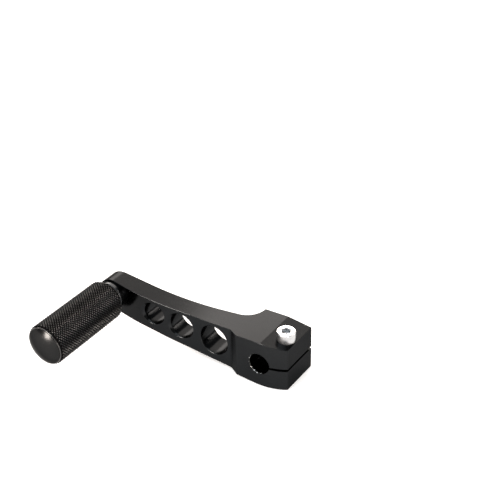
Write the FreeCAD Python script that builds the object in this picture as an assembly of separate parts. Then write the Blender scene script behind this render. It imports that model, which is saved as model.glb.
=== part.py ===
import FreeCAD, Part
import math
import os

# Motorcycle gear shift lever: an anodised arm clamps on the serrated gear shaft at one end
# and carries a knurled toe roller at the other.
#
# Frame, millimetres: the origin is the centre of the serrated bore, on the face that looks
# at the engine. +Y runs along the shaft into the engine, +X leaves the arm at the clamp end,
# +Z is up. The toe roller stands out of the arm towards -Y.

# Clamp block
BLOCK_RIGHT_X = 15.2
BLOCK_TOP_Z = 13.8
BLOCK_TOP_RIGHT_Z = 12.1
BLOCK_BOTTOM_Z = -13.8
BLOCK_FRONT_Y = -28.4
BLOCK_CORNER_Y = -24.2
BLOCK_FRONT_LEFT_X = -14.5
BLOCK_BACK_LEFT_X = -13.8
FRONT_CURVE_START_X = 0.0
TOP_CREASE_X = 0.7
BOTTOM_FLAT_LEFT_X = -3.0

# Serrated bore and its slot. The first groove is half a tooth from the slot's middle.
BORE_R = 6.0
BORE_ROOT_R = 6.3
BORE_TEETH = 36
BORE_GROOVE_WIDTH = 0.54
BORE_TOOTH_OFFSET = 0.5
BORE_LEAD_IN = 0.45
SLOT_WIDTH = 1.4
SLOT_Z = -1.0

# Arm seen from the front: two tangent lines and one large radius on each edge
PEG_X = -96.8
PEG_Z = 9.9
END_R = 9.4
TOP_BEND = (-55.9, 11.5)
TOP_BEND_R = 200.0
BOTTOM_BEND = (-51.5, -10.2)
BOTTOM_BEND_R = 150.0

# Arm seen from above: the front face jogs outwards, the back face is one sloping plane
ARM_FRONT_Y = -25.4
ARM_FRONT_PEG_Y = -29.3
JOG_INNER_X = -48.0
JOG_OUTER_X = -83.0
JOG_R = 90.0
RAMP_LENGTH = 5.3
RAMP_R = 4.0
BACK_SLOPE = 0.11
BACK_AT_BORE_Y = -8.45
OUTLINE_MARGIN = 3.0

# Lightening holes, largest next to the clamp: x, z, radius
HOLES = ((-30.9, 1.4, 8.8), (-52.1, 2.8, 7.6), (-69.5, 5.6, 6.6))
HOLE_CHAMFER = 0.4

# Pinch bolt, M6 with a cylindrical head
BOLT_X = 9.5
BOLT_Y = -16.4
BOLT_SHANK_R = 2.97
BOLT_HEAD_R = 5.0
BOLT_HEAD_H = 6.0
BOLT_SEAT_Z = 11.9
BOLT_LENGTH = 25.0
BOLT_KEY = 5.0
BOLT_KEY_DEPTH = 3.2
BOLT_CLEAR_R = 3.1
BOLT_THREAD_R = 3.0
SPOT_FACE_R = 5.1
HEAD_EDGE = 0.5
BOLT_TIP_CHAMFER = 0.8

# Peg screw, M6 with a low head, sunk in the back of the arm
SCREW_FLOOR_Y = -24.2
SCREW_HEAD_R = 5.0
SCREW_HEAD_H = 3.6
SCREW_KEY = 4.0
SCREW_KEY_DEPTH = 2.2
SCREW_LENGTH = 20.0
COUNTERBORE_R = 5.4
LOCK_WASHER_H = 1.4
LOCK_WASHER_R = 4.9
LOCK_WASHER_SPLIT = 1.0

# Toe roller and its spindle, with lengths along Y
COLLAR_R = 8.2
COLLAR_LENGTH = 3.0
COLLAR_CHAMFER = 0.4
SPIGOT_R = 5.0
SPIGOT_LENGTH = 2.0
WASHER_H = 0.6
WASHER_R = 8.0
AXIAL_PLAY = 0.1
SLEEVE_R = 11.8
SLEEVE_LENGTH = 52.0
SLEEVE_CONE_LENGTH = 3.6
SLEEVE_CONE_R = 8.9
SLEEVE_RIM_CHAMFER = 0.3
SLEEVE_RELIEF_R = 7.4
BUSH_R = 7.0
BUSH_LENGTH = 12.0
JOURNAL_R = 5.5
CLEARANCE = 0.05

# End cap: a dome on a short rim, with a stud into the spindle. A seal ring shows behind it.
CAP_R = 10.6
CAP_RIM_H = 0.4
CAP_DOME_H = 2.7
CAP_STUD_R = 3.9
CAP_STUD_LENGTH = 12.0
RING_R = 10.75
RING_SECTION_R = 0.4
RING_SUNK = 0.15

# Chains worked out from the sizes above
COLLAR_FACE_Y = ARM_FRONT_PEG_Y - COLLAR_LENGTH
SLEEVE_INNER_Y = COLLAR_FACE_Y - WASHER_H - AXIAL_PLAY
SLEEVE_OUTER_Y = SLEEVE_INNER_Y - SLEEVE_LENGTH
OUTER_WASHER_Y = SLEEVE_OUTER_Y - AXIAL_PLAY
SPINDLE_END_Y = OUTER_WASHER_Y - WASHER_H
SAME_POINT = 1e-6
FULL_TURN = 360.0
HEX_SIDES = 6


def vec(x, y, z):
    return FreeCAD.Vector(x, y, z)


def cylinder(radius, y_from, y_to, x=PEG_X, z=PEG_Z):
    """Round bar along Y, about the peg axis unless told otherwise."""
    low = min(y_from, y_to)
    return Part.makeCylinder(radius, abs(y_to - y_from), vec(x, low, z), vec(0, 1, 0))


def cone(radius_from, y_from, radius_to, y_to, x=PEG_X, z=PEG_Z):
    """Frustum along Y between two radii."""
    if y_to < y_from:
        radius_from, y_from, radius_to, y_to = radius_to, y_to, radius_from, y_from
    return Part.makeCone(radius_from, radius_to, y_to - y_from, vec(x, y_from, z), vec(0, 1, 0))


def hexagon(key, depth, base, direction):
    """Hexagonal socket of a given key size, cut from base along direction."""
    radius = key / math.sqrt(3.0)
    corners = []
    for side in range(HEX_SIDES + 1):
        angle = math.radians(FULL_TURN * side / HEX_SIDES)
        corners.append(vec(radius * math.cos(angle), radius * math.sin(angle), 0))
    prism = Part.Face(Part.makePolygon(corners)).extrude(vec(0, 0, depth))
    turn = FreeCAD.Rotation(vec(0, 0, 1), direction)
    prism.Placement = FreeCAD.Placement(base, turn)
    return prism


def outline_edges(corners, place):
    """Closed outline of straight runs; a corner with a radius is a tangent arc.

    corners holds (u, v, radius) and place turns (u, v) into a point in space.
    """
    flat = [vec(u, v, 0) for u, v, _ in corners]
    starts, ends, arcs = [], [], []
    for index, (_, _, radius) in enumerate(corners):
        here = flat[index]
        before = (flat[index - 1] - here).normalize()
        after = (flat[(index + 1) % len(flat)] - here).normalize()
        half = before.getAngle(after) / 2
        reach = radius / math.tan(half)
        starts.append(here + before * reach)
        ends.append(here + after * reach)
        bisector = (before + after).normalize()
        arcs.append(here + bisector * (radius / math.sin(half) - radius) if radius else None)
    edges = []
    for index in range(len(corners)):
        if arcs[index] is not None:
            points = (starts[index], arcs[index], ends[index])
            edges.append(Part.Arc(*[place(p.x, p.y) for p in points]).toShape())
        following = (index + 1) % len(corners)
        first = place(ends[index].x, ends[index].y)
        last = place(starts[following].x, starts[following].y)
        edges.append(Part.LineSegment(first, last).toShape())
    return edges


def tangent_point(outside, side):
    """Where the line from a point outside touches the round end of the arm."""
    dx = outside[0] - PEG_X
    dz = outside[1] - PEG_Z
    bearing = math.atan2(dz, dx)
    spread = math.acos(END_R / math.hypot(dx, dz))
    angle = bearing + side * spread
    return PEG_X + END_R * math.cos(angle), PEG_Z + END_R * math.sin(angle)


def side_prism():
    """The arm's outline from the front, as a prism through the whole depth."""
    def place(u, v):
        return vec(u, BLOCK_FRONT_Y - OUTLINE_MARGIN, v)
    upper = tangent_point(TOP_BEND, 1)
    lower = tangent_point(BOTTOM_BEND, -1)
    corners = (
        (*upper, 0),
        (*TOP_BEND, TOP_BEND_R),
        (TOP_CREASE_X, BLOCK_TOP_Z, 0),
        (BLOCK_RIGHT_X, BLOCK_TOP_RIGHT_Z, 0),
        (BLOCK_RIGHT_X, BLOCK_BOTTOM_Z, 0),
        (BOTTOM_FLAT_LEFT_X, BLOCK_BOTTOM_Z, 0),
        (*BOTTOM_BEND, BOTTOM_BEND_R),
        (*lower, 0),
    )
    edges = outline_edges(corners, place)
    middle = (PEG_X - END_R, PEG_Z)
    edges[-1] = Part.Arc(place(*lower), place(*middle), place(*upper)).toShape()
    face = Part.Face(Part.Wire(Part.__sortEdges__(edges)))
    return face.extrude(vec(0, OUTLINE_MARGIN * 2 - BLOCK_FRONT_Y, 0))


def back_y(x):
    """The arm's sloping back face."""
    return BACK_AT_BORE_Y + BACK_SLOPE * x


def plan_prism():
    """The arm's outline from above, as a prism through the whole height."""
    low_z = BLOCK_BOTTOM_Z - OUTLINE_MARGIN
    end_x = PEG_X - END_R - OUTLINE_MARGIN

    def place(u, v):
        return vec(u, v, low_z)
    lean = math.atan(BACK_SLOPE)
    depth = -back_y(BLOCK_BACK_LEFT_X) * math.cos(lean)
    flare_r = depth / (1.0 - BACK_SLOPE * math.cos(lean))
    flare_x = BLOCK_BACK_LEFT_X - flare_r
    flare_start = (flare_x + flare_r * math.sin(lean), -flare_r * math.cos(lean))
    flare_angle = (lean - math.pi / 2) / 2
    flare_mid = (flare_x + flare_r * math.cos(flare_angle), flare_r * math.sin(flare_angle))
    corners = (
        (FRONT_CURVE_START_X, BLOCK_FRONT_Y, 0),
        (BLOCK_FRONT_LEFT_X, BLOCK_FRONT_Y, 0),
        (BLOCK_FRONT_LEFT_X - RAMP_LENGTH, ARM_FRONT_Y, RAMP_R),
        (JOG_INNER_X, ARM_FRONT_Y, JOG_R),
        (JOG_OUTER_X, ARM_FRONT_PEG_Y, JOG_R),
        (end_x, ARM_FRONT_PEG_Y, 0),
        (end_x, back_y(end_x), 0),
        (*flare_start, 0),
        (BLOCK_BACK_LEFT_X, 0, 0),
        (BLOCK_RIGHT_X, 0, 0),
        (BLOCK_RIGHT_X, BLOCK_CORNER_Y, 0),
    )
    edges = outline_edges(corners, place)
    flare = Part.Arc(place(*flare_start), place(*flare_mid), place(BLOCK_BACK_LEFT_X, 0))
    run = BLOCK_RIGHT_X - FRONT_CURVE_START_X
    rise = BLOCK_CORNER_Y - BLOCK_FRONT_Y
    front_r = (run ** 2 + rise ** 2) / (2 * rise)
    half_turn = math.asin(run / front_r) / 2
    front_mid = (FRONT_CURVE_START_X + front_r * math.sin(half_turn),
                 BLOCK_FRONT_Y + front_r * (1.0 - math.cos(half_turn)))
    front = Part.Arc(place(BLOCK_RIGHT_X, BLOCK_CORNER_Y), place(*front_mid),
                     place(FRONT_CURVE_START_X, BLOCK_FRONT_Y))
    replaced = {flare_start: flare.toShape(), (BLOCK_RIGHT_X, BLOCK_CORNER_Y): front.toShape()}
    for start, arc in replaced.items():
        for index, edge in enumerate(edges):
            if edge.Vertexes[0].Point.distanceToPoint(place(*start)) < SAME_POINT:
                edges[index] = arc
                break
    face = Part.Face(Part.Wire(Part.__sortEdges__(edges)))
    return face.extrude(vec(0, 0, PEG_Z + END_R + OUTLINE_MARGIN - low_z))


def lightening_hole(x, z, radius):
    """Through hole with a small chamfer at both faces."""
    front = ARM_FRONT_PEG_Y - OUTLINE_MARGIN
    hole = cylinder(radius, front, 0, x, z)
    front_y = face_y(x)
    for y, outward in ((front_y, -1), (back_y(x), 1)):
        wide = radius + HOLE_CHAMFER + OUTLINE_MARGIN / 2
        tip = y - outward * HOLE_CHAMFER
        mouth = y + outward * OUTLINE_MARGIN / 2
        hole = hole.fuse(cone(radius, tip, wide, mouth, x, z))
    return hole


def face_y(x):
    """The arm's front face at x: level, sloping along the jog, level again."""
    if x > JOG_INNER_X:
        return ARM_FRONT_Y
    share = min(1.0, (JOG_INNER_X - x) / (JOG_INNER_X - JOG_OUTER_X))
    return ARM_FRONT_Y + share * (ARM_FRONT_PEG_Y - ARM_FRONT_Y)


def serrated_bore():
    """Bore for the gear shaft, with vee grooves between its teeth."""
    front = BLOCK_FRONT_Y - OUTLINE_MARGIN
    bore = cylinder(BORE_R, front, OUTLINE_MARGIN, 0, 0)
    grooves = []
    half = BORE_GROOVE_WIDTH / 2
    inside = BORE_R - BORE_GROOVE_WIDTH
    for tooth in range(BORE_TEETH):
        corners = [vec(inside, front, -half), vec(BORE_R, front, -half),
                   vec(BORE_ROOT_R, front, 0), vec(BORE_R, front, half),
                   vec(inside, front, half), vec(inside, front, -half)]
        groove = Part.Face(Part.makePolygon(corners))
        groove = groove.extrude(vec(0, OUTLINE_MARGIN - front, 0))
        turn = FULL_TURN * (tooth + BORE_TOOTH_OFFSET) / BORE_TEETH
        groove.rotate(vec(0, 0, 0), vec(0, 1, 0), turn)
        grooves.append(groove)
    bore = bore.multiFuse(grooves)
    for y, outward in ((BLOCK_FRONT_Y, -1), (0, 1)):
        deep = y - outward * BORE_LEAD_IN
        bore = bore.fuse(cone(BORE_R, deep, BORE_R + BORE_LEAD_IN, y, 0, 0))
    return bore


def lever_arm():
    """Arm and clamp block, milled from one plate."""
    arm = side_prism().common(plan_prism())
    for hole in HOLES:
        arm = arm.cut(lightening_hole(*hole))
    arm = arm.cut(serrated_bore())
    slot = Part.makeBox(BLOCK_RIGHT_X + OUTLINE_MARGIN, OUTLINE_MARGIN * 2 - BLOCK_FRONT_Y,
                        SLOT_WIDTH,
                        vec(0, BLOCK_FRONT_Y - OUTLINE_MARGIN, SLOT_Z - SLOT_WIDTH / 2))
    arm = arm.cut(slot)
    above = BLOCK_TOP_Z + OUTLINE_MARGIN
    spot = Part.makeCylinder(SPOT_FACE_R, above - BOLT_SEAT_Z, vec(BOLT_X, BOLT_Y, BOLT_SEAT_Z))
    clear = Part.makeCylinder(BOLT_CLEAR_R, above, vec(BOLT_X, BOLT_Y, 0))
    thread = Part.makeCylinder(BOLT_THREAD_R, -BLOCK_BOTTOM_Z + OUTLINE_MARGIN,
                               vec(BOLT_X, BOLT_Y, BLOCK_BOTTOM_Z - OUTLINE_MARGIN))
    arm = arm.cut(spot).cut(clear).cut(thread)
    screw_hole = cylinder(BOLT_CLEAR_R, SCREW_FLOOR_Y, ARM_FRONT_PEG_Y - OUTLINE_MARGIN)
    counterbore = cylinder(COUNTERBORE_R, SCREW_FLOOR_Y, 0)
    seat = cylinder(SPIGOT_R, ARM_FRONT_PEG_Y + SPIGOT_LENGTH, ARM_FRONT_PEG_Y - OUTLINE_MARGIN)
    return arm.cut(screw_hole).cut(counterbore).cut(seat)


def chamfered_head(radius, height, base, direction):
    """Cylindrical screw head with its free edge broken."""
    body = Part.makeCylinder(radius, height - HEAD_EDGE, base, direction)
    top = base + direction * (height - HEAD_EDGE)
    return body.fuse(Part.makeCone(radius, radius - HEAD_EDGE, HEAD_EDGE, top, direction))


def socket_screw(base, direction, head_r, head_h, key, key_depth, length):
    """Socket screw: base is the centre of its bearing face, direction points at its head."""
    head = chamfered_head(head_r, head_h, base, direction)
    straight = length - BOLT_TIP_CHAMFER
    shank = Part.makeCylinder(BOLT_SHANK_R, straight, base, direction * -1)
    tip = Part.makeCone(BOLT_SHANK_R, BOLT_SHANK_R - BOLT_TIP_CHAMFER / 2,
                        BOLT_TIP_CHAMFER, base - direction * straight, direction * -1)
    screw = head.fuse(shank).fuse(tip)
    socket_base = base + direction * (head_h - key_depth)
    screw = screw.cut(hexagon(key, key_depth + HEAD_EDGE, socket_base, direction))
    return screw.removeSplitter()


def pinch_bolt():
    """Closes the slot, so that the block grips the shaft."""
    return socket_screw(vec(BOLT_X, BOLT_Y, BOLT_SEAT_Z), vec(0, 0, 1), BOLT_HEAD_R,
                        BOLT_HEAD_H, BOLT_KEY, BOLT_KEY_DEPTH, BOLT_LENGTH)


def peg_screw():
    """Holds the spindle from the back of the arm."""
    return socket_screw(vec(PEG_X, SCREW_FLOOR_Y + LOCK_WASHER_H, PEG_Z), vec(0, 1, 0),
                        SCREW_HEAD_R, SCREW_HEAD_H, SCREW_KEY, SCREW_KEY_DEPTH, SCREW_LENGTH)


def ring(outer_r, inner_r, y_from, y_to):
    """Flat ring about the peg axis."""
    return cylinder(outer_r, y_from, y_to).cut(cylinder(inner_r, y_from, y_to))


def peg_lock_washer():
    """Split spring washer under the peg screw's head."""
    top = SCREW_FLOOR_Y + LOCK_WASHER_H
    washer = ring(LOCK_WASHER_R, BOLT_CLEAR_R, SCREW_FLOOR_Y, top)
    split = Part.makeBox(LOCK_WASHER_R * 2, LOCK_WASHER_H * 2, LOCK_WASHER_SPLIT,
                         vec(PEG_X, SCREW_FLOOR_Y - LOCK_WASHER_H / 2, PEG_Z))
    return washer.cut(split)


def peg_spindle():
    """Stepped spindle: spigot in the arm, collar against it, journal for the roller."""
    spindle = cylinder(SPIGOT_R - CLEARANCE, ARM_FRONT_PEG_Y + SPIGOT_LENGTH
                       - CLEARANCE, ARM_FRONT_PEG_Y)
    straight = COLLAR_FACE_Y + COLLAR_CHAMFER
    spindle = spindle.fuse(cylinder(COLLAR_R, ARM_FRONT_PEG_Y, straight))
    spindle = spindle.fuse(cone(COLLAR_R, straight, COLLAR_R - COLLAR_CHAMFER, COLLAR_FACE_Y))
    spindle = spindle.fuse(cylinder(JOURNAL_R, ARM_FRONT_PEG_Y, SPINDLE_END_Y))
    screw_depth = SCREW_FLOOR_Y - SCREW_LENGTH
    spindle = spindle.cut(cylinder(BOLT_THREAD_R, 0, screw_depth))
    stud_depth = SPINDLE_END_Y + CAP_STUD_LENGTH + AXIAL_PLAY
    spindle = spindle.cut(cylinder(CAP_STUD_R + CLEARANCE, SPINDLE_END_Y, stud_depth))
    return spindle.removeSplitter()


def inner_thrust_washer():
    """Between the collar and the roller."""
    return ring(WASHER_R, JOURNAL_R + CLEARANCE, COLLAR_FACE_Y, COLLAR_FACE_Y - WASHER_H)


def outer_thrust_washer():
    """Between the roller and the end cap."""
    return ring(WASHER_R, JOURNAL_R + CLEARANCE, OUTER_WASHER_Y, SPINDLE_END_Y)


def toe_sleeve():
    """Knurled roller: full radius over its grip, tapered towards the arm."""
    shoulder = SLEEVE_INNER_Y - SLEEVE_CONE_LENGTH
    rim = SLEEVE_OUTER_Y + SLEEVE_RIM_CHAMFER
    sleeve = cone(SLEEVE_CONE_R, SLEEVE_INNER_Y, SLEEVE_R, shoulder)
    sleeve = sleeve.fuse(cylinder(SLEEVE_R, shoulder, rim))
    sleeve = sleeve.fuse(cone(SLEEVE_R, rim, SLEEVE_R - SLEEVE_RIM_CHAMFER, SLEEVE_OUTER_Y))
    sleeve = sleeve.cut(cylinder(BUSH_R, SLEEVE_INNER_Y, SLEEVE_OUTER_Y))
    relief = cylinder(SLEEVE_RELIEF_R, SLEEVE_INNER_Y - BUSH_LENGTH, SLEEVE_OUTER_Y + BUSH_LENGTH)
    return sleeve.cut(relief).removeSplitter()


def bush(y_from, y_to):
    """Plain bearing pressed into one end of the roller."""
    return ring(BUSH_R, JOURNAL_R + CLEARANCE, y_from, y_to)


def end_cap():
    """Domed cap that keeps the roller on its spindle."""
    rim_y = SPINDLE_END_Y - CAP_RIM_H
    dome_r = (CAP_R ** 2 + CAP_DOME_H ** 2) / (2 * CAP_DOME_H)
    centre_y = rim_y - CAP_DOME_H + dome_r
    ball = Part.makeSphere(dome_r, vec(PEG_X, centre_y, PEG_Z))
    dome = ball.common(cylinder(CAP_R, rim_y, rim_y - CAP_DOME_H - OUTLINE_MARGIN))
    cap = dome.fuse(cylinder(CAP_R, SPINDLE_END_Y, rim_y))
    cap = cap.fuse(cylinder(CAP_STUD_R, SPINDLE_END_Y, SPINDLE_END_Y + CAP_STUD_LENGTH))
    return cap.cut(cap_seal_ring()).removeSplitter()


def cap_seal_ring():
    """Round rubber ring in the gap behind the cap, a little sunk in the cap's back face."""
    middle_y = SPINDLE_END_Y + RING_SECTION_R - RING_SUNK
    return Part.makeTorus(RING_R, RING_SECTION_R, vec(PEG_X, middle_y, PEG_Z), vec(0, 1, 0))


def build():
    """Every piece by its node name."""
    inner_end = SLEEVE_INNER_Y - BUSH_LENGTH
    outer_end = SLEEVE_OUTER_Y + BUSH_LENGTH
    return {
        "lever_arm": lever_arm(),
        "pinch_bolt": pinch_bolt(),
        "peg_screw": peg_screw(),
        "peg_lock_washer": peg_lock_washer(),
        "peg_spindle": peg_spindle(),
        "inner_thrust_washer": inner_thrust_washer(),
        "toe_sleeve": toe_sleeve(),
        "inner_bush": bush(SLEEVE_INNER_Y, inner_end),
        "outer_bush": bush(SLEEVE_OUTER_Y, outer_end),
        "outer_thrust_washer": outer_thrust_washer(),
        "end_cap": end_cap(),
        "cap_seal_ring": cap_seal_ring(),
    }


os.makedirs("parts", exist_ok=True)
for node, shape in build().items():
    shape.exportStep(f"parts/{node}.step")
    print(node, "solids", len(shape.Solids), "valid", shape.isValid(), "volume", round(shape.Volume, 1))
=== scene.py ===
# %% [markdown]
# # A gear shift lever, finished piece by piece
# The lever is a milled aluminium arm, anodised black. One end clamps on a serrated shaft
# with a bright zinc screw, and the other carries a knurled toe roller with a domed cap.
# Its solids come from a CAD model that is loaded first and never moved. This script adds
# what CAD leaves out: softened edges, the knurl, screw threads and the surface of each
# metal. Everything is in metres, and every place is worked out from the CAD boxes.

import math

import bmesh
import bpy
from mathutils import Matrix, Vector


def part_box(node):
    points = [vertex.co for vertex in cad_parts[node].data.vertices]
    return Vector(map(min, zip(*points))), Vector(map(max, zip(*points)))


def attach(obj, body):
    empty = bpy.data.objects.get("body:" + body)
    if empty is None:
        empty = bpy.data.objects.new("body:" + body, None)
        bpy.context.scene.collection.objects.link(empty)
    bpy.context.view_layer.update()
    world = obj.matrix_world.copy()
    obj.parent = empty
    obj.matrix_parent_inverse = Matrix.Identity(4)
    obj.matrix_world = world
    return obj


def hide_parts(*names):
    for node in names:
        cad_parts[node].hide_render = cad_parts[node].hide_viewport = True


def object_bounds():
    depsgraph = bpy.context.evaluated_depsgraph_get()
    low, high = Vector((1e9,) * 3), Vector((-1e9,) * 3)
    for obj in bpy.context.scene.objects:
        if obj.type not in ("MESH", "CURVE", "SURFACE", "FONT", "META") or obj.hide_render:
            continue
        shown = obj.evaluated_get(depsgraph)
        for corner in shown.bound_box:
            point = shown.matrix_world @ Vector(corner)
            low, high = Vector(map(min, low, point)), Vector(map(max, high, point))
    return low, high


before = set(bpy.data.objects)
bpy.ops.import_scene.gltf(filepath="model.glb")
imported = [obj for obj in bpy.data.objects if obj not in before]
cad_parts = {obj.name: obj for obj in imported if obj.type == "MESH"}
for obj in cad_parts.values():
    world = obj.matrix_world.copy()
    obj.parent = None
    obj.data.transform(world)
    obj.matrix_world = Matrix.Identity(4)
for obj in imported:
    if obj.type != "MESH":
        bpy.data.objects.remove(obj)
cad_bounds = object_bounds()
MM = 0.001

# %% [markdown]
# ## A short way to write node trees
# Shaders and geometry trees are both graphs of nodes. Wiring them by hand hides the idea
# in plumbing, so two small classes carry it. `Wire` stands for the output of a node and
# understands + - * /, each of which adds a Math node. `Graph.add` makes any other node:
# its settings are set first, because some of them change which sockets it has.

# %% Node tree helpers


class Wire:
    """A node's output that can be used in a Python expression."""

    def __init__(self, graph, socket):
        self.graph = graph
        self.socket = socket

    def maths(self, operation, first, second=0.0):
        return self.graph.add("ShaderNodeMath", {0: first, 1: second}, operation=operation)

    def __add__(self, other):
        return self.maths("ADD", self, other)

    def __radd__(self, other):
        return self.maths("ADD", other, self)

    def __sub__(self, other):
        return self.maths("SUBTRACT", self, other)

    def __rsub__(self, other):
        return self.maths("SUBTRACT", other, self)

    def __mul__(self, other):
        return self.maths("MULTIPLY", self, other)

    def __rmul__(self, other):
        return self.maths("MULTIPLY", other, self)

    def __truediv__(self, other):
        return self.maths("DIVIDE", self, other)


class Graph:
    """A node tree that is filled one node at a time."""

    def __init__(self, tree):
        self.tree = tree

    def add(self, kind, sockets=None, output=0, **settings):
        node = self.tree.nodes.new(kind)
        for name, value in settings.items():
            setattr(node, name, value)
        for key, value in (sockets or {}).items():
            self.feed(node.inputs[key], value)
        return Wire(self, node.outputs[output])

    def feed(self, socket, value):
        if isinstance(value, Wire):
            self.tree.links.new(value.socket, socket)
        else:
            socket.default_value = value

    def mix_colour(self, factor, first, second):
        return self.add("ShaderNodeMix", {0: factor, 6: first, 7: second}, output=2,
                        data_type="RGBA")

    def step(self, value, low, high):
        """0 below low, 1 above high, and a smooth rise between them."""
        sockets = {"Value": value, "From Min": low, "From Max": high}
        return self.add("ShaderNodeMapRange", sockets, interpolation_type="SMOOTHSTEP")


def grey(level, tint=0.0):
    """A neutral colour, a little bluer with a positive tint."""
    return (level * (1 - tint), level, level * (1 + tint), 1.0)


class Finish(Graph):
    """A material: one Principled shader and the graph that feeds it."""

    def __init__(self, name, **fixed):
        self.material = bpy.data.materials.new(name)
        self.material.use_nodes = True
        super().__init__(self.material.node_tree)
        self.shader = self.tree.nodes["Principled BSDF"]
        for key, value in fixed.items():
            self.shader.inputs[key.replace("_", " ")].default_value = value

    def surface(self, **inputs):
        for key, value in inputs.items():
            self.feed(self.shader.inputs[key.replace("_", " ")], value)

    def place(self, stretch=(1.0, 1.0, 1.0)):
        """The point being shaded, in metres, stretched along each axis."""
        coordinates = self.add("ShaderNodeTexCoord", output="Object")
        return self.add("ShaderNodeMapping", {"Vector": coordinates, "Scale": stretch})

    def noise(self, scale, detail=2.0, stretch=(1.0, 1.0, 1.0)):
        sockets = {"Vector": self.place(stretch), "Scale": scale, "Detail": detail}
        return self.add("ShaderNodeTexNoise", sockets, output="Fac")

    def bump(self, height, depth):
        """Turns a 0 to 1 height into a relief that is depth metres deep."""
        sockets = {"Height": height, "Distance": depth, "Strength": 1.0}
        self.surface(Normal=self.add("ShaderNodeBump", sockets))


print("helpers ready")

# %% [markdown]
# ## Black anodised aluminium
# Anodising grows a thin, clear, slightly porous oxide on the metal, and a black dye fills
# it. What comes back is a faint mirror image of the room: about a fiftieth of the light,
# and hardly more at a glancing angle, because the dye absorbs it on its way in and out.
# So the shader is a metal with a very dark base and a dark edge tint. The milled surface
# still shows through, as fine marks stretched along the arm, and a slow drift of the
# roughness stands for the uneven bath. A plain dark plastic shader would turn far too
# bright at the edges of every round.

# %% Arm and collar finishes
DYED_EDGE = grey(0.48)
MILLING_MARKS = (90.0, 2400.0, 2400.0)
TURNING_MARKS = (400.0, 5200.0, 400.0)
BLUE_CAST = 0.05


def anodised(name, level, roughness, marks, mark_depth):
    """Dyed metal: level is its mean brightness, and marks are the strokes per metre."""
    finish = Finish(name, Metallic=1.0, Specular_Tint=DYED_EDGE)
    drift = finish.noise(38.0, detail=3.0)
    grain = finish.noise(5200.0, detail=1.0)
    strokes = finish.noise(1.0, detail=2.0, stretch=marks)
    shade = drift * 0.4 + grain * 0.2 + strokes * 0.4
    darker, lighter = grey(level * 0.6, BLUE_CAST), grey(level * 1.4, BLUE_CAST)
    finish.surface(Base_Color=finish.mix_colour(shade, darker, lighter))
    finish.surface(Roughness=drift * 0.08 + strokes * 0.06 + (roughness - 0.07))
    finish.bump(strokes * 0.7 + grain * 0.3, mark_depth)
    return finish.material


arm_black = anodised("arm_black_anodised", level=0.0195, roughness=0.19,
                     marks=MILLING_MARKS, mark_depth=0.7e-6)
collar_grey = anodised("turned_collar_anodised", level=0.07, roughness=0.26,
                       marks=TURNING_MARKS, mark_depth=0.8e-6)
print("finishes:", arm_black.name, collar_grey.name)

# %% [markdown]
# ## The knurled grip's finish
# Shoes rub the crests of the knurl, so the dye is thinner there and they are lighter,
# while the valleys are painted near black, as shade, darker than the dye elsewhere. The
# distance from the roller's axis says which is which: it is computed from the object's own
# coordinates, so it turns with the roller. A picture of the pattern would need to be
# unwrapped and would never line up with the pyramids so well.

# %% Knurl finish
sleeve_low, sleeve_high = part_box("toe_sleeve")
PEG_X = (sleeve_low[0] + sleeve_high[0]) / 2
PEG_Z = (sleeve_low[2] + sleeve_high[2]) / 2
SLEEVE_R = (sleeve_high[0] - sleeve_low[0]) / 2
KNURL_DEPTH = 0.42 * MM
RUB_STARTS, RUB_ENDS = 0.3 * KNURL_DEPTH, 0.1 * KNURL_DEPTH
# The valleys' colour is painted shade, darker than the dye; the crests' grey is wear.
VALLEY_SHADE, CREST_GREY = grey(0.004), grey(0.068)


def knurl_finish():
    finish = Finish("grip_black_anodised", Metallic=1.0, Specular_Tint=DYED_EDGE)
    place = finish.add("ShaderNodeTexCoord", output="Object")
    across = finish.add("ShaderNodeVectorMath", {0: place, 1: (PEG_X, 0.0, PEG_Z)},
                        operation="SUBTRACT")
    radial = finish.add("ShaderNodeVectorMath", {0: across, 1: (1.0, 0.0, 1.0)},
                        operation="MULTIPLY")
    distance = finish.add("ShaderNodeVectorMath", {0: radial}, output="Value",
                          operation="LENGTH")
    crest = finish.step(distance, SLEEVE_R - RUB_STARTS, SLEEVE_R - RUB_ENDS)
    wear_and_valley_shade = crest * (finish.noise(140.0, detail=3.0) * 0.6 + 0.6)
    # Crests are lighter from rubbed wear; valleys are painted near black as shade.
    finish.surface(Base_Color=finish.mix_colour(wear_and_valley_shade, VALLEY_SHADE, CREST_GREY))
    finish.surface(Roughness=0.40 - wear_and_valley_shade * 0.12)
    finish.bump(finish.noise(6500.0, detail=1.0), 0.8e-6)
    return finish.material


grip_black = knurl_finish()
print("roller axis x, z in mm:", round(PEG_X / MM, 2), round(PEG_Z / MM, 2))

# %% [markdown]
# ## The polished cap and the grip's plain end
# The cap is the same dyed metal, but polished before the dye, so the room shows in it
# more sharply. Hair-fine turning marks run round it. The grip's faced end is painted darker
# than its sides, as shade in the gap behind the cap. Both could be one finish with a mask,
# but the cap and the grip are separate pieces, so two plain finishes are easier to read.

# %% Cap and end finishes
CAP_CAST = 0.01


def cap_finish():
    finish = Finish("cap_black_polished", Metallic=1.0, Specular_Tint=DYED_EDGE)
    haze = finish.noise(90.0, detail=4.0)
    turning = finish.noise(1.0, detail=1.0, stretch=(500.0, 9000.0, 500.0))
    darker, lighter = grey(0.016, CAP_CAST), grey(0.022, CAP_CAST)
    finish.surface(Base_Color=finish.mix_colour(haze, darker, lighter))
    finish.surface(Roughness=0.18 + haze * 0.07)
    finish.bump(turning, 0.25e-6)
    return finish.material


cap_black = cap_finish()
# The grip's faced end: dyed metal painted darker, as shade in the gap behind the cap.
grip_end_shade = anodised("grip_end_anodised", level=0.006, roughness=0.22,
                     marks=TURNING_MARKS, mark_depth=0.4e-6)
print("finishes:", cap_black.name, grip_end_shade.name)
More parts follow.
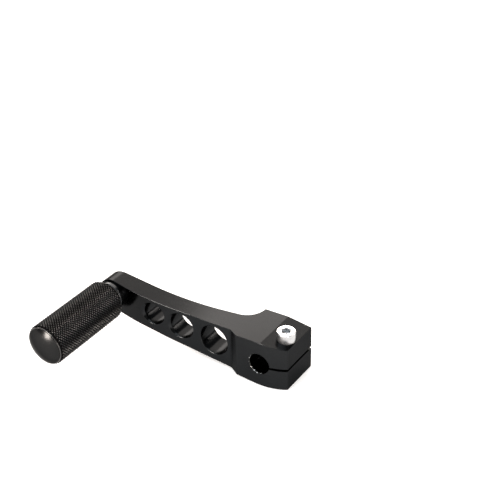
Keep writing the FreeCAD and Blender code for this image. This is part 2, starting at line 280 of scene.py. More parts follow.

# %% [markdown]
# ## Zinc plate and a worn edge
# Zinc plate is bright, a little blue, and clouded. The side of a screw head was rolled in
# a die, which leaves marks round it and a rougher surface than the top; its colour is also
# painted darker, as shade. The key socket's walls are painted darker too, as shade in the
# recess. At the mouth of the bore a steel shaft has chipped the dye, so a noise with a
# hard threshold lets patches of bare metal through. Each of these is its own finish,
# because they meet at sharp edges and a mask would blur them.

# %% Screw and bore edge finishes
UPRIGHT_RINGS = (250.0, 250.0, 5200.0)
LEVEL_RINGS = (250.0, 5200.0, 250.0)
EVEN_GRAIN = (900.0, 900.0, 900.0)


def zinc_finish():
    finish = Finish("screw_zinc_plate", Metallic=1.0)
    cloud = finish.noise(420.0, detail=4.0)
    spots = finish.step(finish.noise(1700.0, detail=2.0), 0.62, 0.74)
    bright = finish.mix_colour(cloud, grey(0.72, 0.02), grey(0.86, 0.01))
    finish.surface(Base_Color=finish.mix_colour(spots * 0.35, bright, grey(0.45)))
    finish.surface(Roughness=0.08 + cloud * 0.10 + spots * 0.1)
    finish.bump(cloud, 2.0e-6)
    return finish.material


def rolled_shaded_zinc(name, rings):
    """A screw head's side: fine marks run round it, and its colour is painted darker as shade."""
    finish = Finish(name, Metallic=1.0)
    cloud = finish.noise(420.0, detail=3.0)
    marks = finish.noise(1.0, detail=1.0, stretch=rings)
    # Painted shade: the side's colour is darker than the zinc on the top.
    finish.surface(Base_Color=finish.mix_colour(cloud, grey(0.36, 0.02), grey(0.50, 0.01)))
    finish.surface(Roughness=0.27 + cloud * 0.12)
    finish.bump(marks, 20e-6)
    return finish.material


def worn_finish():
    """Dyed metal with bare chips, as on an edge that a steel shaft is pushed over."""
    finish = Finish("bore_edge_chipped", Metallic=1.0)
    chips = finish.step(finish.noise(620.0, detail=1.0), 0.55, 0.60)
    finish.surface(Base_Color=finish.mix_colour(chips, grey(0.02), grey(0.42)))
    finish.surface(Roughness=0.30 - chips * 0.05)
    return finish.material


zinc = zinc_finish()
# Screw sides, with a colour painted darker than the top as shade.
upright_shaded_zinc = rolled_shaded_zinc("rolled_zinc_upright", UPRIGHT_RINGS)
level_shaded_zinc = rolled_shaded_zinc("rolled_zinc_level", LEVEL_RINGS)
# Socket walls: zinc painted darker, as shade in the recess.
socket_shade = anodised("socket_shaded_zinc", level=0.40, roughness=0.35,
                        marks=EVEN_GRAIN, mark_depth=1.5e-6)
chipped_edge = worn_finish()
print("finishes:", zinc.name, upright_shaded_zinc.name, socket_shade.name, chipped_edge.name)

# %% [markdown]
# ## Bushes, washers and the seal
# These small pieces are almost hidden, so one recipe serves them all: a colour that
# drifts between two shades, and a fine grain. Bronze is a metal, and polymer and rubber
# are not, which is the one setting that separates them most.

# %% Finishes of the small pieces


def plain_finish(name, colour, darker, roughness, metallic, scale):
    """One colour that drifts; scale is the drift's, and the grain is finer."""
    finish = Finish(name, Metallic=metallic)
    drift = finish.noise(scale, detail=4.0)
    finish.surface(Base_Color=finish.mix_colour(drift, darker, colour))
    finish.surface(Roughness=roughness + drift * 0.15)
    finish.bump(finish.noise(scale * 12, detail=1.0), 1.5e-6)
    return finish.material


bronze = plain_finish("bush_bronze", colour=(0.62, 0.40, 0.20, 1), darker=(0.42, 0.26, 0.13, 1),
                      roughness=0.3, metallic=1.0, scale=260)
polymer = plain_finish("washer_polymer", colour=grey(0.05), darker=grey(0.03),
                       roughness=0.5, metallic=0.0, scale=300)
rubber = plain_finish("seal_rubber", colour=grey(0.01), darker=grey(0.006),
                      roughness=0.12, metallic=0.0, scale=300)
print("finishes:", bronze.name, polymer.name, rubber.name)

# %% [markdown]
# ## The milled arm
# A CAD solid has perfectly sharp edges, which catch no light and look drawn rather than
# made. Every real milled part has its edges broken by a fraction of a millimetre. The
# CAD mesh can't be changed, so a copy is merged from loose triangles into faces, its
# sharp edges are found by the angle between their faces, and those are bevelled. The
# teeth of the bore are left alone, because they are hardly wider than the bevel. A slight
# crease, like the one beside the screw's seat, is too flat to find by angle: a curved wall
# turns as much from one facet to the next. The surface normals that came with the CAD mesh
# tell the two apart, because they jump at a crease and agree along a curve.

# %% Soften the arm's edges
EDGE_BREAK = 0.11 * MM
BREAK_SEGMENTS = 2
BORE_KEEP = 7.4 * MM
CAD_WELD = 0.002 * MM
SHARP = math.radians(28)
FLAT = math.radians(0.2)
CREASE = math.radians(1.5)


def is_outer_edge(edge):
    """Sharp, and away from the serrated bore, whose axis is the frame's Y axis."""
    if len(edge.link_faces) != 2 or edge.calc_face_angle(0.0) < SHARP:
        return False
    return all(math.hypot(v.co.x, v.co.z) > BORE_KEEP for v in edge.verts)


def is_crease(edge, normals):
    """True where the surface itself turns at this edge, however little."""
    if len(edge.link_loops) != 2:
        return True
    one, other = edge.link_loops
    ends = ((one, other.link_loop_next), (one.link_loop_next, other))
    return max(a[normals].angle(b[normals], 0.0) for a, b in ends) > CREASE


def mesh_object(name, bm, material, smooth=SHARP):
    """Turns a finished bmesh into an object at the origin."""
    mesh = bpy.data.meshes.new(name)
    bm.to_mesh(mesh)
    bm.free()
    mesh.materials.append(material)
    if smooth:
        mesh.shade_smooth()
        mesh.set_sharp_from_angle(angle=smooth)
    piece = bpy.data.objects.new(name, mesh)
    bpy.context.scene.collection.objects.link(piece)
    return piece


def flatten(piece):
    """Bakes a piece's modifiers into its mesh."""
    depsgraph = bpy.context.evaluated_depsgraph_get()
    baked = bpy.data.meshes.new_from_object(piece.evaluated_get(depsgraph), depsgraph=depsgraph)
    piece.modifiers.clear()
    piece.data = baked
    return piece


def softened(node, name, material, width):
    """A copy of a CAD node with its outer edges broken."""
    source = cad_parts[node].data
    bm = bmesh.new()
    bm.from_mesh(source)
    normals = bm.loops.layers.float_vector.new("cad_normal")
    for face in bm.faces:
        face.smooth = True
        for loop in face.loops:
            loop[normals] = source.corner_normals[loop.index].vector
    bmesh.ops.remove_doubles(bm, verts=bm.verts, dist=CAD_WELD)
    bmesh.ops.dissolve_limit(bm, angle_limit=FLAT, verts=bm.verts, edges=bm.edges)
    for edge in bm.edges:
        edge.smooth = not is_crease(edge, normals)
    edges = [edge for edge in bm.edges if is_outer_edge(edge)]
    bmesh.ops.bevel(bm, geom=edges, offset=width, segments=BREAK_SEGMENTS, profile=0.5,
                    affect="EDGES", clamp_overlap=False)
    for edge in bm.edges:
        edge.smooth = edge.smooth and edge.calc_face_angle(0.0) < SHARP
    bm.loops.layers.float_vector.remove(normals)
    piece = mesh_object(name, bm, material, smooth=None)
    weighted = piece.modifiers.new("even_shading", "WEIGHTED_NORMAL")
    weighted.keep_sharp = True
    print(name, "edges broken:", len(edges))
    return flatten(piece)


# %% [markdown]
# ## The arm's place, and its worn bore
# The lead-in of the bore is a narrow cone, so its faces lean, while the bore's wall and
# the arm's faces don't. That lean picks them out for the chipped finish. The piece then
# rides on the lever's body and stands for the CAD node, which is hidden.

# %% Place the arm
LEAD_IN_LEAN = (0.3, 0.95)


def wear_lead_in(piece, material):
    """Chips the bore's lead-in: faces that lean between its wall and the arm's faces."""
    piece.data.materials.append(material)
    least, most = LEAD_IN_LEAN
    for face in piece.data.polygons:
        in_bore = math.hypot(face.center.x, face.center.z) < BORE_KEEP
        if in_bore and least < abs(face.normal.y) < most:
            face.material_index = 1


def finish_piece(piece, body, slot, *replaced):
    """Ties a piece to its CAD body and hides the nodes it stands for; slot is not used."""
    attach(piece, body)
    if replaced:
        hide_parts(*replaced)


arm = softened("lever_arm", "arm_milled", arm_black, EDGE_BREAK)
wear_lead_in(arm, chipped_edge)
finish_piece(arm, "lever", "anodised_arm", "lever_arm")
print("arm faces:", len(arm.data.polygons))

# %% [markdown]
# ## Turned pieces
# The spindle's collar, the roller's body and the domed cap come off a lathe, so each is
# a profile spun about the roller's axis. A lathe tool leaves a small radius at each
# corner, and that radius is what draws the thin bright ring around a turned edge. The
# `rounded` helper swaps a corner of the profile for an arc, and `turned` spins it. A
# profile that ends where it starts closes on itself, because those two rings are merged.

# %% Lathe helpers
TURN_STEPS = 128
SAME_POINT = 1e-7
ARC_STEPS = 5


def rounded(profile):
    """Replaces each corner (r, y, radius) of a profile by a tangent arc."""
    points = [Vector((r, y)) for r, y, _ in profile]
    path = []
    for index, (_, _, radius) in enumerate(profile):
        here = points[index]
        if radius == 0 or index in (0, len(profile) - 1):
            path.append(here)
            continue
        before = (points[index - 1] - here).normalized()
        after = (points[index + 1] - here).normalized()
        half = before.angle(after) / 2
        start = here + before * radius / math.tan(half)
        end = here + after * radius / math.tan(half)
        centre = here + (before + after).normalized() * radius / math.sin(half)
        for step in range(ARC_STEPS + 1):
            blend = start.lerp(end, step / ARC_STEPS)
            path.append(centre + (blend - centre).normalized() * radius)
    return path


def turned(name, profile, material):
    """Spins a closed or open profile of (radius, y) about the roller's axis."""
    bm = bmesh.new()
    rings = []
    for radius, y in profile:
        if radius < SAME_POINT:
            rings.append([bm.verts.new((PEG_X, y, PEG_Z))])
            continue
        ring = []
        for step in range(TURN_STEPS):
            angle = 2 * math.pi * step / TURN_STEPS
            ring.append(bm.verts.new((PEG_X + radius * math.cos(angle), y,
                                      PEG_Z + radius * math.sin(angle))))
        rings.append(ring)
    for first, second in zip(rings, rings[1:]):
        for step in range(TURN_STEPS):
            following = (step + 1) % TURN_STEPS
            corners = [first[step % len(first)], first[following % len(first)],
                       second[following % len(second)], second[step % len(second)]]
            bm.faces.new(list(dict.fromkeys(corners)))
    bmesh.ops.remove_doubles(bm, verts=bm.verts, dist=SAME_POINT)
    bmesh.ops.recalc_face_normals(bm, faces=bm.faces)
    return mesh_object(name, bm, material)


print("steps around a turned piece:", TURN_STEPS)

# %% [markdown]
# ## The spindle
# The spindle is one turned bar. A spigot locates it in the arm, a collar bears on the
# arm's face, and the long journal carries the roller. Its screw and the cap's stud fill
# the two blind holes in its ends. Only the collar shows, but the rest is turned too, so
# the piece is whole if the roller is taken away.

# %% Turn the spindle
COLLAR_LENGTH = 3.0 * MM
JOURNAL_R = 5.5 * MM
SPIGOT_R = 4.95 * MM
SCREW_HOLE_R = 3.0 * MM
STUD_R = 3.9 * MM
SLIDING_FIT = 0.05 * MM
END_PLAY = 0.1 * MM


def spin_spindle():
    low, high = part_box("peg_spindle")
    screw_tip_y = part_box("peg_screw")[0][1]
    face_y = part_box("inner_thrust_washer")[1][1]
    arm_y = face_y + COLLAR_LENGTH
    collar_r = (high[0] - low[0]) / 2
    stud_hole_r = STUD_R + SLIDING_FIT
    stud_hole_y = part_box("end_cap")[1][1] + END_PLAY
    screw_hole = [(0, screw_tip_y, 0), (SCREW_HOLE_R, screw_tip_y, 0),
                  (SCREW_HOLE_R, high[1], 0)]
    outside = [(SPIGOT_R, high[1], 0.2 * MM), (SPIGOT_R, arm_y, 0),
               (collar_r, arm_y, 0.15 * MM), (collar_r, face_y, 0.5 * MM),
               (JOURNAL_R, face_y, 0.1 * MM), (JOURNAL_R, low[1], 0.2 * MM)]
    stud_hole = [(stud_hole_r, low[1], 0), (stud_hole_r, stud_hole_y, 0), (0, stud_hole_y, 0)]
    return turned("spindle_turned", rounded(screw_hole + outside + stud_hole), collar_grey)


spindle = spin_spindle()
finish_piece(spindle, "lever", "spindle_grey", "peg_spindle")
print("spindle faces:", len(spindle.data.polygons))

# %% [markdown]
# ## The domed cap
# The cap closes the roller's outer end. Its dome is a shallow piece of a sphere on a
# short straight rim, so the light slides over it and then drops off in a thin dark line.
# A sphere scaled flat would curve too little in the middle and too much at the rim, so
# the dome is worked out as a true arc through the rim and the tip. A thin rubber ring,
# which keeps its CAD mesh, sits in the gap behind.

# %% Turn the cap
DOME_RINGS = 22
RIM_LENGTH = 0.4 * MM


def spin_cap():
    low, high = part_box("end_cap")
    radius = (high[0] - low[0]) / 2
    back_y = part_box("outer_thrust_washer")[0][1]
    rim_y = back_y - RIM_LENGTH
    rise = rim_y - low[1]
    dome_r = (radius ** 2 + rise ** 2) / (2 * rise)
    spread = math.asin(radius / dome_r)
    centre_y = low[1] + dome_r
    path = rounded([(0, high[1], 0), (STUD_R, high[1], 0), (STUD_R, back_y, 0.1 * MM),
                    (radius, back_y, 0.12 * MM), (radius, rim_y, 0)])
    for ring in range(1, DOME_RINGS + 1):
        angle = spread * (1 - ring / DOME_RINGS)
        path.append(Vector((dome_r * math.sin(angle), centre_y - dome_r * math.cos(angle))))
    return turned("cap_domed", path, cap_black)


cap = spin_cap()
finish_piece(cap, "lever", "cap_black", "end_cap")
print("cap faces:", len(cap.data.polygons))

# %% [markdown]
# ## The knurled grip
# A knurling wheel rolls crossed spiral grooves into the roller and leaves thousands of
# small flat-topped pyramids. Modelling each by hand would be hopeless and a bump map
# would leave the outline smooth, so one pyramid is made and a geometry tree sets a copy
# on every point of a staggered lattice. The lattice follows the roller's profile: the
# short taper next to the arm first, then the straight grip.

# %% Helpers for geometry trees


def tree_with_inputs(name, inputs):
    """A geometry node group with named number inputs and one geometry output."""
    tree = bpy.data.node_groups.new(name, "GeometryNodeTree")
    for label, kind in inputs.items():
        tree.interface.new_socket(name=label, in_out="INPUT", socket_type=kind)
    tree.interface.new_socket(name="Geometry", in_out="OUTPUT", socket_type="NodeSocketGeometry")
    entry = tree.nodes.new("NodeGroupInput")
    exit_node = tree.nodes.new("NodeGroupOutput")
    graph = Graph(tree)
    wires = {label: Wire(graph, entry.outputs[label]) for label in inputs}
    return graph, wires, exit_node


def grown(name, tree, values):
    """Runs a geometry tree and keeps its result as a plain mesh."""
    piece = bpy.data.objects.new(name, bpy.data.meshes.new(name))
    bpy.context.scene.collection.objects.link(piece)
    modifier = piece.modifiers.new(name, "NODES")
    modifier.node_group = tree
    for item in tree.interface.items_tree:
        if item.in_out == "INPUT" and item.name in values:
            modifier[item.identifier] = values[item.name]
    return flatten(piece)


def close_tree(graph, geometry, material, exit_node):
    real = graph.add("GeometryNodeRealizeInstances", {"Geometry": geometry})
    dressed = graph.add("GeometryNodeSetMaterial", {"Geometry": real, "Material": material})
    graph.tree.links.new(dressed.socket, exit_node.inputs["Geometry"])
    return graph.tree


print("geometry tree helpers ready")

# %% [markdown]
# ## The knurl's lattice
# Every pyramid is a point with a number. Dividing that number by the count around gives
# its row, and what is left over gives its column, and every second row is turned by half
# a step. The row says how far the point has travelled along the profile, so a little
# trigonometry finds its place, and how far it leans on the taper.

# %% Geometry tree for the knurl
HALF_STEP = 0.5
FIRST_ROW = 0.6
CREST_RADIUS = 0.35
FOOT_RADIUS = 1.04


def knurl_tree():
    inputs = {"Around": "NodeSocketInt", "Rows": "NodeSocketInt", "Row Step": "NodeSocketFloat",
              "Radius": "NodeSocketFloat", "End Radius": "NodeSocketFloat",
              "Taper": "NodeSocketFloat", "Start": "NodeSocketFloat",
              "Depth": "NodeSocketFloat", "Axis X": "NodeSocketFloat",
              "Axis Z": "NodeSocketFloat"}
    graph, given, exit_node = tree_with_inputs("diamond_knurl", inputs)

    def maths(operation, first, second=0.0):
        return graph.add("ShaderNodeMath", {0: first, 1: second}, operation=operation)

    def vector(x, y, z):
        return graph.add("ShaderNodeCombineXYZ", {"X": x, "Y": y, "Z": z})

    around = given["Around"]
    index = graph.add("GeometryNodeInputIndex")
    row = maths("FLOOR", (index + 0.5) / around)
    column = index - row * around
    stagger = maths("MODULO", row, 2.0) * HALF_STEP
    turn = (column + stagger) * (2 * math.pi) / around
    cosine = maths("COSINE", turn)
    sine = maths("SINE", turn)
    rise = given["Radius"] - given["End Radius"]
    lean = maths("ARCTAN2", rise, given["Taper"])
    slant = maths("SQRT", rise * rise + given["Taper"] * given["Taper"])
    travel = (row + FIRST_ROW) * given["Row Step"]
    on_taper = maths("LESS_THAN", travel, slant - given["Row Step"] * HALF_STEP)
    tilt = on_taper * lean
    tilt_cos = maths("COSINE", tilt)
    tilt_sin = maths("SINE", tilt)
    along_taper = maths("MINIMUM", travel, slant)
    beyond = maths("MAXIMUM", travel - slant, 0.0)
    crest = given["End Radius"] + along_taper * maths("SINE", lean)
    floor_r = crest - given["Depth"] * tilt_cos
    y = given["Start"] - along_taper * maths("COSINE", lean) - beyond
    y = y - given["Depth"] * tilt_sin
    spot = vector(given["Axis X"] + floor_r * cosine, y, given["Axis Z"] + floor_r * sine)
    outward = vector(cosine * tilt_cos, tilt_sin, sine * tilt_cos)
    forward = vector(cosine * tilt_sin * -1.0, tilt_cos, sine * tilt_sin * -1.0)
    facing = graph.add("FunctionNodeAxesToRotation", {0: outward, 1: forward},
                       primary_axis="Z", secondary_axis="X")
    half_pitch = floor_r * math.pi / around
    size = vector(given["Row Step"], half_pitch, given["Depth"])
    points = graph.add("GeometryNodePoints", {"Count": around * given["Rows"], "Position": spot})
    pyramid = graph.add("GeometryNodeMeshCone",
                        {"Vertices": 4, "Side Segments": 1, "Radius Top": CREST_RADIUS,
                         "Radius Bottom": FOOT_RADIUS, "Depth": 1.0}, fill_type="NGON")
    copies = graph.add("GeometryNodeInstanceOnPoints",
                       {"Points": points, "Instance": pyramid, "Rotation": facing, "Scale": size})
    return close_tree(graph, copies, grip_black, exit_node)


diamond_knurl = knurl_tree()
print("knurl tree nodes:", len(diamond_knurl.nodes))

# %% [markdown]
# ## The roller's body
# Under the pyramids is a plain turned body, with its surface a hair above their feet so
# that no gap shows between them. Its bore is wider between the two bushes, as it is in a
# real roller, where that saves machining the middle to a fit. The pyramids stop short of
# the outer end, which is faced off flat.

# %% Grow the knurl and turn the roller's body
KNURL_AROUND = 38
KNURL_STEP = 0.82 * MM
TAPER_LENGTH = 3.6 * MM
TAPER_END_R = 8.9 * MM
CORE_GAP = 0.02 * MM
PLAIN_END = 0.5 * MM
FACED_END = 0.3 * MM
BUSH_R = 7.0 * MM
RELIEF_R = 7.4 * MM


def grow_knurl():
    shoulder_y = sleeve_high[1] - TAPER_LENGTH
    slant = math.hypot(TAPER_LENGTH, SLEEVE_R - TAPER_END_R)
    knurled = slant + (shoulder_y - sleeve_low[1]) - PLAIN_END
    values = {"Around": KNURL_AROUND, "Rows": int(knurled / KNURL_STEP),
              "Row Step": KNURL_STEP, "Radius": SLEEVE_R, "End Radius": TAPER_END_R,
              "Taper": TAPER_LENGTH, "Start": sleeve_high[1], "Depth": KNURL_DEPTH,
              "Axis X": PEG_X, "Axis Z": PEG_Z}
    return grown("grip_knurl", diamond_knurl, values)


def spin_core():
    inner_y, outer_y = sleeve_high[1], sleeve_low[1]
    shoulder_y = inner_y - TAPER_LENGTH
    floor_depth = KNURL_DEPTH - CORE_GAP
    core_r = SLEEVE_R - floor_depth
    relief_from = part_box("outer_bush")[1][1]
    relief_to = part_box("inner_bush")[0][1]
    outside = [(BUSH_R, inner_y, 0), (TAPER_END_R - floor_depth, inner_y, 0.1 * MM),
               (core_r, shoulder_y, 0.6 * MM), (core_r, outer_y, 0.15 * MM)]
    bore = [(BUSH_R, outer_y, 0), (BUSH_R, relief_from, 0), (RELIEF_R, relief_from, 0),
            (RELIEF_R, relief_to, 0), (BUSH_R, relief_to, 0), (BUSH_R, inner_y, 0)]
    core = turned("grip_core", rounded(outside + bore), grip_black)
    # The faced end's faces get the finish that is painted dark as shade behind the cap.
    core.data.materials.append(grip_end_shade)
    for face in core.data.polygons:
        if face.center.y < outer_y + FACED_END:
            face.material_index = 1
    return core


grip_knurl = grow_knurl()
grip_core = spin_core()
finish_piece(grip_core, "roller", "anodised_sleeve", "toe_sleeve")
finish_piece(grip_knurl, "roller", "anodised_sleeve")
print("knurl faces:", len(grip_knurl.data.polygons))

# %% [markdown]
# ## Socket screws
# The pinch bolt and the peg screw are cold-formed: a smooth cylindrical head with a soft
# top edge, and a hexagonal socket with a small lead-in. Every ring of the head has the
# same number of points, so a ring can be a circle or a hexagon and still join to the next
# one. The socket's walls get a finish painted darker than the top, as shade in the recess,
# and the head's side has its own rolled finish, painted darker than the top as shade. A
# hexagon cut by a boolean would leave long thin faces around it, which shade badly.

# %% Screw heads
HEAD_STEPS = 180
HEAD_SHARP = math.radians(35)
HEAD_EDGE_R = 0.45 * MM
KEY_LEAD = 0.15 * MM
KEY_CONE = 0.8 * MM
CONE_TIP_R = 0.3 * MM
UNDER_HEAD = 0.3 * MM
POINT_LENGTH = 0.6 * MM
POINT_SHARE = 0.8
SHANK_R = 2.62 * MM
SOCKET_SLOT, SIDE_SLOT = 1, 2


def hexagon_radius(angle, apothem):
    """Distance from the centre to a hexagon's side in a given direction."""
    return apothem / math.cos((angle % (math.pi / 3)) - math.pi / 6)


def head_rings(radius, height, key, key_depth, length):
    """The screw's rings from its point to its socket's floor, as (height, radius rule)."""
    corner = key / math.sqrt(3) + KEY_LEAD
    floor = height - key_depth

    def circle(r):
        return lambda angle: r

    def hexagon(angle):
        return hexagon_radius(angle, key / 2)

    rings = [(-length, circle(SHANK_R * POINT_SHARE)), (POINT_LENGTH - length, circle(SHANK_R)),
             (0.0, circle(SHANK_R)), (0.0, circle(radius - UNDER_HEAD)),
             (UNDER_HEAD, circle(radius))]
    side_band = len(rings) - 1
    for step in range(ARC_STEPS + 1):
        angle = math.pi / 2 * step / ARC_STEPS
        rings.append((height - HEAD_EDGE_R + HEAD_EDGE_R * math.sin(angle),
                      circle(radius - HEAD_EDGE_R + HEAD_EDGE_R * math.cos(angle))))
    rings += [(height, circle(corner)), (height - KEY_LEAD, hexagon)]
    socket_band = len(rings) - 1
    rings += [(floor, hexagon), (floor - KEY_CONE, circle(CONE_TIP_R))]
    return rings, {side_band: SIDE_SLOT, socket_band: SOCKET_SLOT}


def screw_head(name, base, axis, side, length, head):
    """A socket head screw: base is the middle of its seat, axis points out of its head."""
    rings, dressed_bands = head_rings(length=length, **head)
    turn = Vector((0, 0, 1)).rotation_difference(Vector(axis)).to_matrix()
    bm = bmesh.new()
    loops = []
    for z, shape in rings:
        loop = []
        for step in range(HEAD_STEPS):
            angle = 2 * math.pi * step / HEAD_STEPS
            r = shape(angle)
            local = Vector((r * math.cos(angle), r * math.sin(angle), z))
            loop.append(bm.verts.new(Vector(base) + turn @ local))
        loops.append(loop)
    for band, (first, second) in enumerate(zip(loops, loops[1:])):
        for step in range(HEAD_STEPS):
            following = (step + 1) % HEAD_STEPS
            corners = (first[step], first[following], second[following], second[step])
            bm.faces.new(corners).material_index = dressed_bands.get(band, 0)
    bm.faces.new(loops[0])
    bm.faces.new(loops[-1])
    bmesh.ops.recalc_face_normals(bm, faces=bm.faces)
    piece = mesh_object(name, bm, zinc, smooth=HEAD_SHARP)
    piece.data.materials.append(socket_shade)
    piece.data.materials.append(side)
    return piece


print("points around a screw head:", HEAD_STEPS)

# %% [markdown]
# ## The screws' threads
# A thread is one triangle swept along a spiral, so a second geometry tree does it: its
# inputs are the radius, the pitch, the number of turns and the ridge's size. It grows
# along Z, and is then laid along its screw inside its own mesh, so that the object stays
# at the origin like every other piece.

# %% Geometry tree for the thread
POINTS_PER_TURN = 28
TRIANGLE = 3


def thread_tree():
    inputs = {"Radius": "NodeSocketFloat", "Pitch": "NodeSocketFloat",
              "Turns": "NodeSocketFloat", "Ridge": "NodeSocketFloat"}
    graph, given, exit_node = tree_with_inputs("screw_thread", inputs)
    spiral = graph.add("GeometryNodeCurveSpiral",
                       {"Resolution": POINTS_PER_TURN, "Rotations": given["Turns"],
                        "Start Radius": given["Radius"], "End Radius": given["Radius"],
                        "Height": given["Pitch"] * given["Turns"]})
    ridge = graph.add("GeometryNodeCurvePrimitiveCircle",
                      {"Resolution": TRIANGLE, "Radius": given["Ridge"]})
    swept = graph.add("GeometryNodeCurveToMesh", {"Curve": spiral, "Profile Curve": ridge,
                                                  "Fill Caps": True})
    return close_tree(graph, swept, zinc, exit_node)


screw_thread = thread_tree()
print("thread tree nodes:", len(screw_thread.nodes))

# %% [markdown]
# ## The pinch bolt and the peg screw
# Both are M6 screws. The pinch bolt stands upright with a tall head, and the peg screw
# lies along the roller's axis with a low one. The places come from their CAD boxes, and
# the sizes of head and key are those of such screws.

# %% Both screws
M6_PITCH = 1.0 * MM
RIDGE_R = 0.28 * MM
THREAD_START = 0.7 * MM
PLAIN_TURNS = 2
TALL_HEAD = {"height": 6.0 * MM, "key": 5.0 * MM, "key_depth": 2.3 * MM}
LOW_HEAD = {"height": 3.6 * MM, "key": 4.0 * MM, "key_depth": 2.2 * MM}


def threaded(name, base, axis, length):
    """Grows a thread and lays it along an axis; the place goes into its mesh."""
    values = {"Radius": SHANK_R, "Pitch": M6_PITCH, "Turns": length / M6_PITCH - PLAIN_TURNS,
              "Ridge": RIDGE_R}
    piece = grown(name, screw_thread, values)
    turn = Vector((0, 0, 1)).rotation_difference(Vector(axis)).to_matrix().to_4x4()
    piece.data.transform(Matrix.Translation(base) @ turn)
    return piece


def make_pinch_bolt():
    low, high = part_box("pinch_bolt")
    x, y = (low[0] + high[0]) / 2, (low[1] + high[1]) / 2
    seat_z = high[2] - TALL_HEAD["height"]
    head = {**TALL_HEAD, "radius": (high[0] - low[0]) / 2}
    upward, length = (0, 0, 1), seat_z - low[2]
    bolt = screw_head("pinch_screw", (x, y, seat_z), upward, upright_shaded_zinc, length, head)
    thread = threaded("pinch_screw_thread", (x, y, low[2] + THREAD_START), upward, length)
    return bolt, thread


def make_peg_screw():
    low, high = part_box("peg_screw")
    x, z = (low[0] + high[0]) / 2, (low[2] + high[2]) / 2
    seat_y = high[1] - LOW_HEAD["height"]
    head = {**LOW_HEAD, "radius": (high[0] - low[0]) / 2}
    inward, length = (0, 1, 0), seat_y - low[1]
    screw = screw_head("peg_socket_screw", (x, seat_y, z), inward, level_shaded_zinc, length, head)
    thread = threaded("peg_socket_screw_thread", (x, low[1] + THREAD_START, z), inward, length)
    return screw, thread


pinch, pinch_thread = make_pinch_bolt()
peg, peg_thread = make_peg_screw()
finish_piece(pinch, "lever", "zinc", "pinch_bolt")
finish_piece(pinch_thread, "lever", "zinc")
finish_piece(peg, "lever", "zinc", "peg_screw")
finish_piece(peg_thread, "lever", "zinc")
print("screw faces:", len(pinch.data.polygons), len(pinch_thread.data.polygons))

# %% [markdown]
# ## Pieces that keep their CAD shape
# The bushes, the thrust washers, the spring washer and the seal ring are hidden or
# nearly so, and their CAD meshes are already exact, so making them again would gain
# nothing. They only need their finishes, which go into their material slots. The CAD
# meshes that a finished piece stands for are hidden, and get the same finish as it has.

# %% Finish the small pieces
KEPT = {"inner_bush": bronze, "outer_bush": bronze, "inner_thrust_washer": polymer,
        "outer_thrust_washer": polymer, "peg_lock_washer": zinc, "cap_seal_ring": rubber}
CAD_FINISH = {**KEPT, "lever_arm": arm_black, "pinch_bolt": zinc, "peg_screw": zinc,
              "peg_spindle": collar_grey, "toe_sleeve": grip_black, "end_cap": cap_black}
for node, material in CAD_FINISH.items():
    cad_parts[node].material_slots[0].material = material
print("CAD pieces shown as they are:", ", ".join(sorted(KEPT)))

# %% [markdown]
# ## A pale studio
# Black satin metal has hardly any colour of its own: what it shows is its surroundings.
# So panels of soft light shape it. Three stand behind, and the low one among them is
# what the top faces mirror towards the camera. A strip in front draws the highlight on
# the cap, one at the right lifts the faces on that side, and a wide one overhead softens
# the shadows. The floor glows faintly, as a lit white sweep does, so it stays pale where
# the lever shades it. One small lamp would show as a white dot on a black field.

# %% Floor and lights
FLOOR_GAP = 0.2 * MM
FLOOR_HALF_SIDE = 3.0
FLOOR_CELLS = 8
FLOOR_GLOW = 0.35
SKY_LEVEL = 0.2
SKY_CAST = 0.03


def make_floor():
    finish = Finish("studio_floor", Roughness=0.9, Emission_Strength=FLOOR_GLOW,
                    Emission_Color=grey(1.0))
    finish.surface(Base_Color=finish.mix_colour(finish.noise(3.0), grey(0.86), grey(0.9)))
    bm = bmesh.new()
    bmesh.ops.create_grid(bm, x_segments=FLOOR_CELLS, y_segments=FLOOR_CELLS,
                          size=FLOOR_HALF_SIDE)
    floor = mesh_object("studio_floor", bm, finish.material)
    floor.location.z = cad_bounds[0][2] - FLOOR_GAP


def make_light(name, bearing, distance, size, power, tint, target):
    """A rectangular soft light on a given bearing from the target, facing it."""
    lamp = bpy.data.lights.new(name, "AREA")
    lamp.shape = "RECTANGLE"
    lamp.size, lamp.size_y = size
    lamp.energy = power
    lamp.color = tint
    source = bpy.data.objects.new(name, lamp)
    bpy.context.scene.collection.objects.link(source)
    away = Vector(bearing).normalized()
    source.location = Vector(target) + away * distance
    source.rotation_euler = away.to_track_quat("Z", "Y").to_euler()


def make_world(level):
    world = bpy.data.worlds.new("studio")
    world.use_nodes = True
    background = world.node_tree.nodes["Background"]
    background.inputs["Color"].default_value = grey(1.0, SKY_CAST)
    background.inputs["Strength"].default_value = level
    bpy.context.scene.world = world


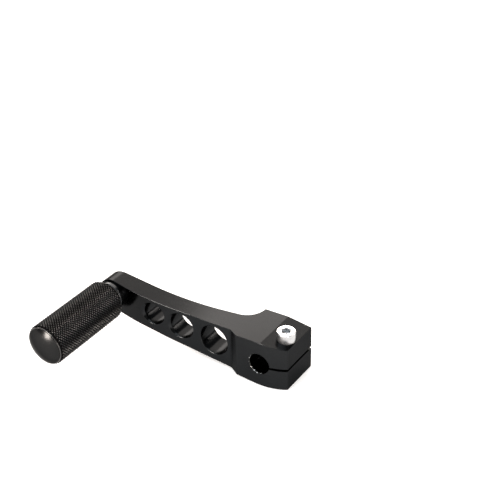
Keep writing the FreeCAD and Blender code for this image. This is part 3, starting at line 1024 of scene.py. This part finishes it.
centre = [(low + high) / 2 for low, high in zip(*cad_bounds)]
cap_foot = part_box("end_cap")[0]
WARM = (1.0, 0.90, 0.82)
COOL = (0.93, 0.97, 1.0)
make_floor()
make_light("low_back_panel", (-0.54, 0.70, 0.40), 1.0, (1.3, 0.42), 14.6, WARM, centre)
make_light("high_back_panel", (-0.35, 0.70, 0.95), 1.2, (1.2, 0.7), 6.2, WARM, centre)
make_light("right_back_panel", (0.75, 0.58, 0.42), 0.8, (0.11, 0.35), 1.9, WARM, centre)
make_light("front_strip", (-0.27, -0.96, 0.15), 1.0, (0.26, 0.42), 20.0, WARM, cap_foot)
make_light("right_strip", (0.87, -0.50, 0.15), 1.0, (0.12, 0.42), 7.0, WARM, centre)
make_light("overhead", (-0.1, -0.45, 1.0), 1.3, (1.6, 1.6), 14.5, COOL, centre)
make_world(SKY_LEVEL)

# %% [markdown]
# ## The camera
# The lever is seen from its clamp end, from above and a little to the right, through a
# fairly long lens. The camera's place is given by how far round it stands, how high, how
# far away, and how much it leans. Three directions at right angles make its rotation,
# which is easier to check than three angles that are applied one after another.

# %% Camera
VIEW_AZIMUTH = math.radians(34.035)
VIEW_ELEVATION = math.radians(32.448)
VIEW_ROLL = math.radians(-1.24)
VIEW_DISTANCE = 545.1 * MM
VIEW_TARGET = Vector((-6.05, -25.4, 67.44)) * MM
LENS = 79.0
NEAREST = 10 * MM


def make_camera():
    back = Vector((math.sin(VIEW_AZIMUTH) * math.cos(VIEW_ELEVATION),
                   -math.cos(VIEW_AZIMUTH) * math.cos(VIEW_ELEVATION), math.sin(VIEW_ELEVATION)))
    right = Vector((math.cos(VIEW_AZIMUTH), math.sin(VIEW_AZIMUTH), 0))
    up = back.cross(right)
    upright = Matrix((right, up, back)).transposed()
    data = bpy.data.cameras.new("studio_camera")
    data.lens = LENS
    data.clip_start = NEAREST
    camera = bpy.data.objects.new("studio_camera", data)
    bpy.context.scene.collection.objects.link(camera)
    turn = upright @ Matrix.Rotation(VIEW_ROLL, 3, "Z")
    camera.matrix_world = Matrix.Translation(VIEW_TARGET + back * VIEW_DISTANCE) @ turn.to_4x4()
    bpy.context.scene.camera = camera
    return camera


camera = make_camera()
bpy.context.scene.view_settings.view_transform = "Standard"
print("camera at", [round(v, 3) for v in camera.location])
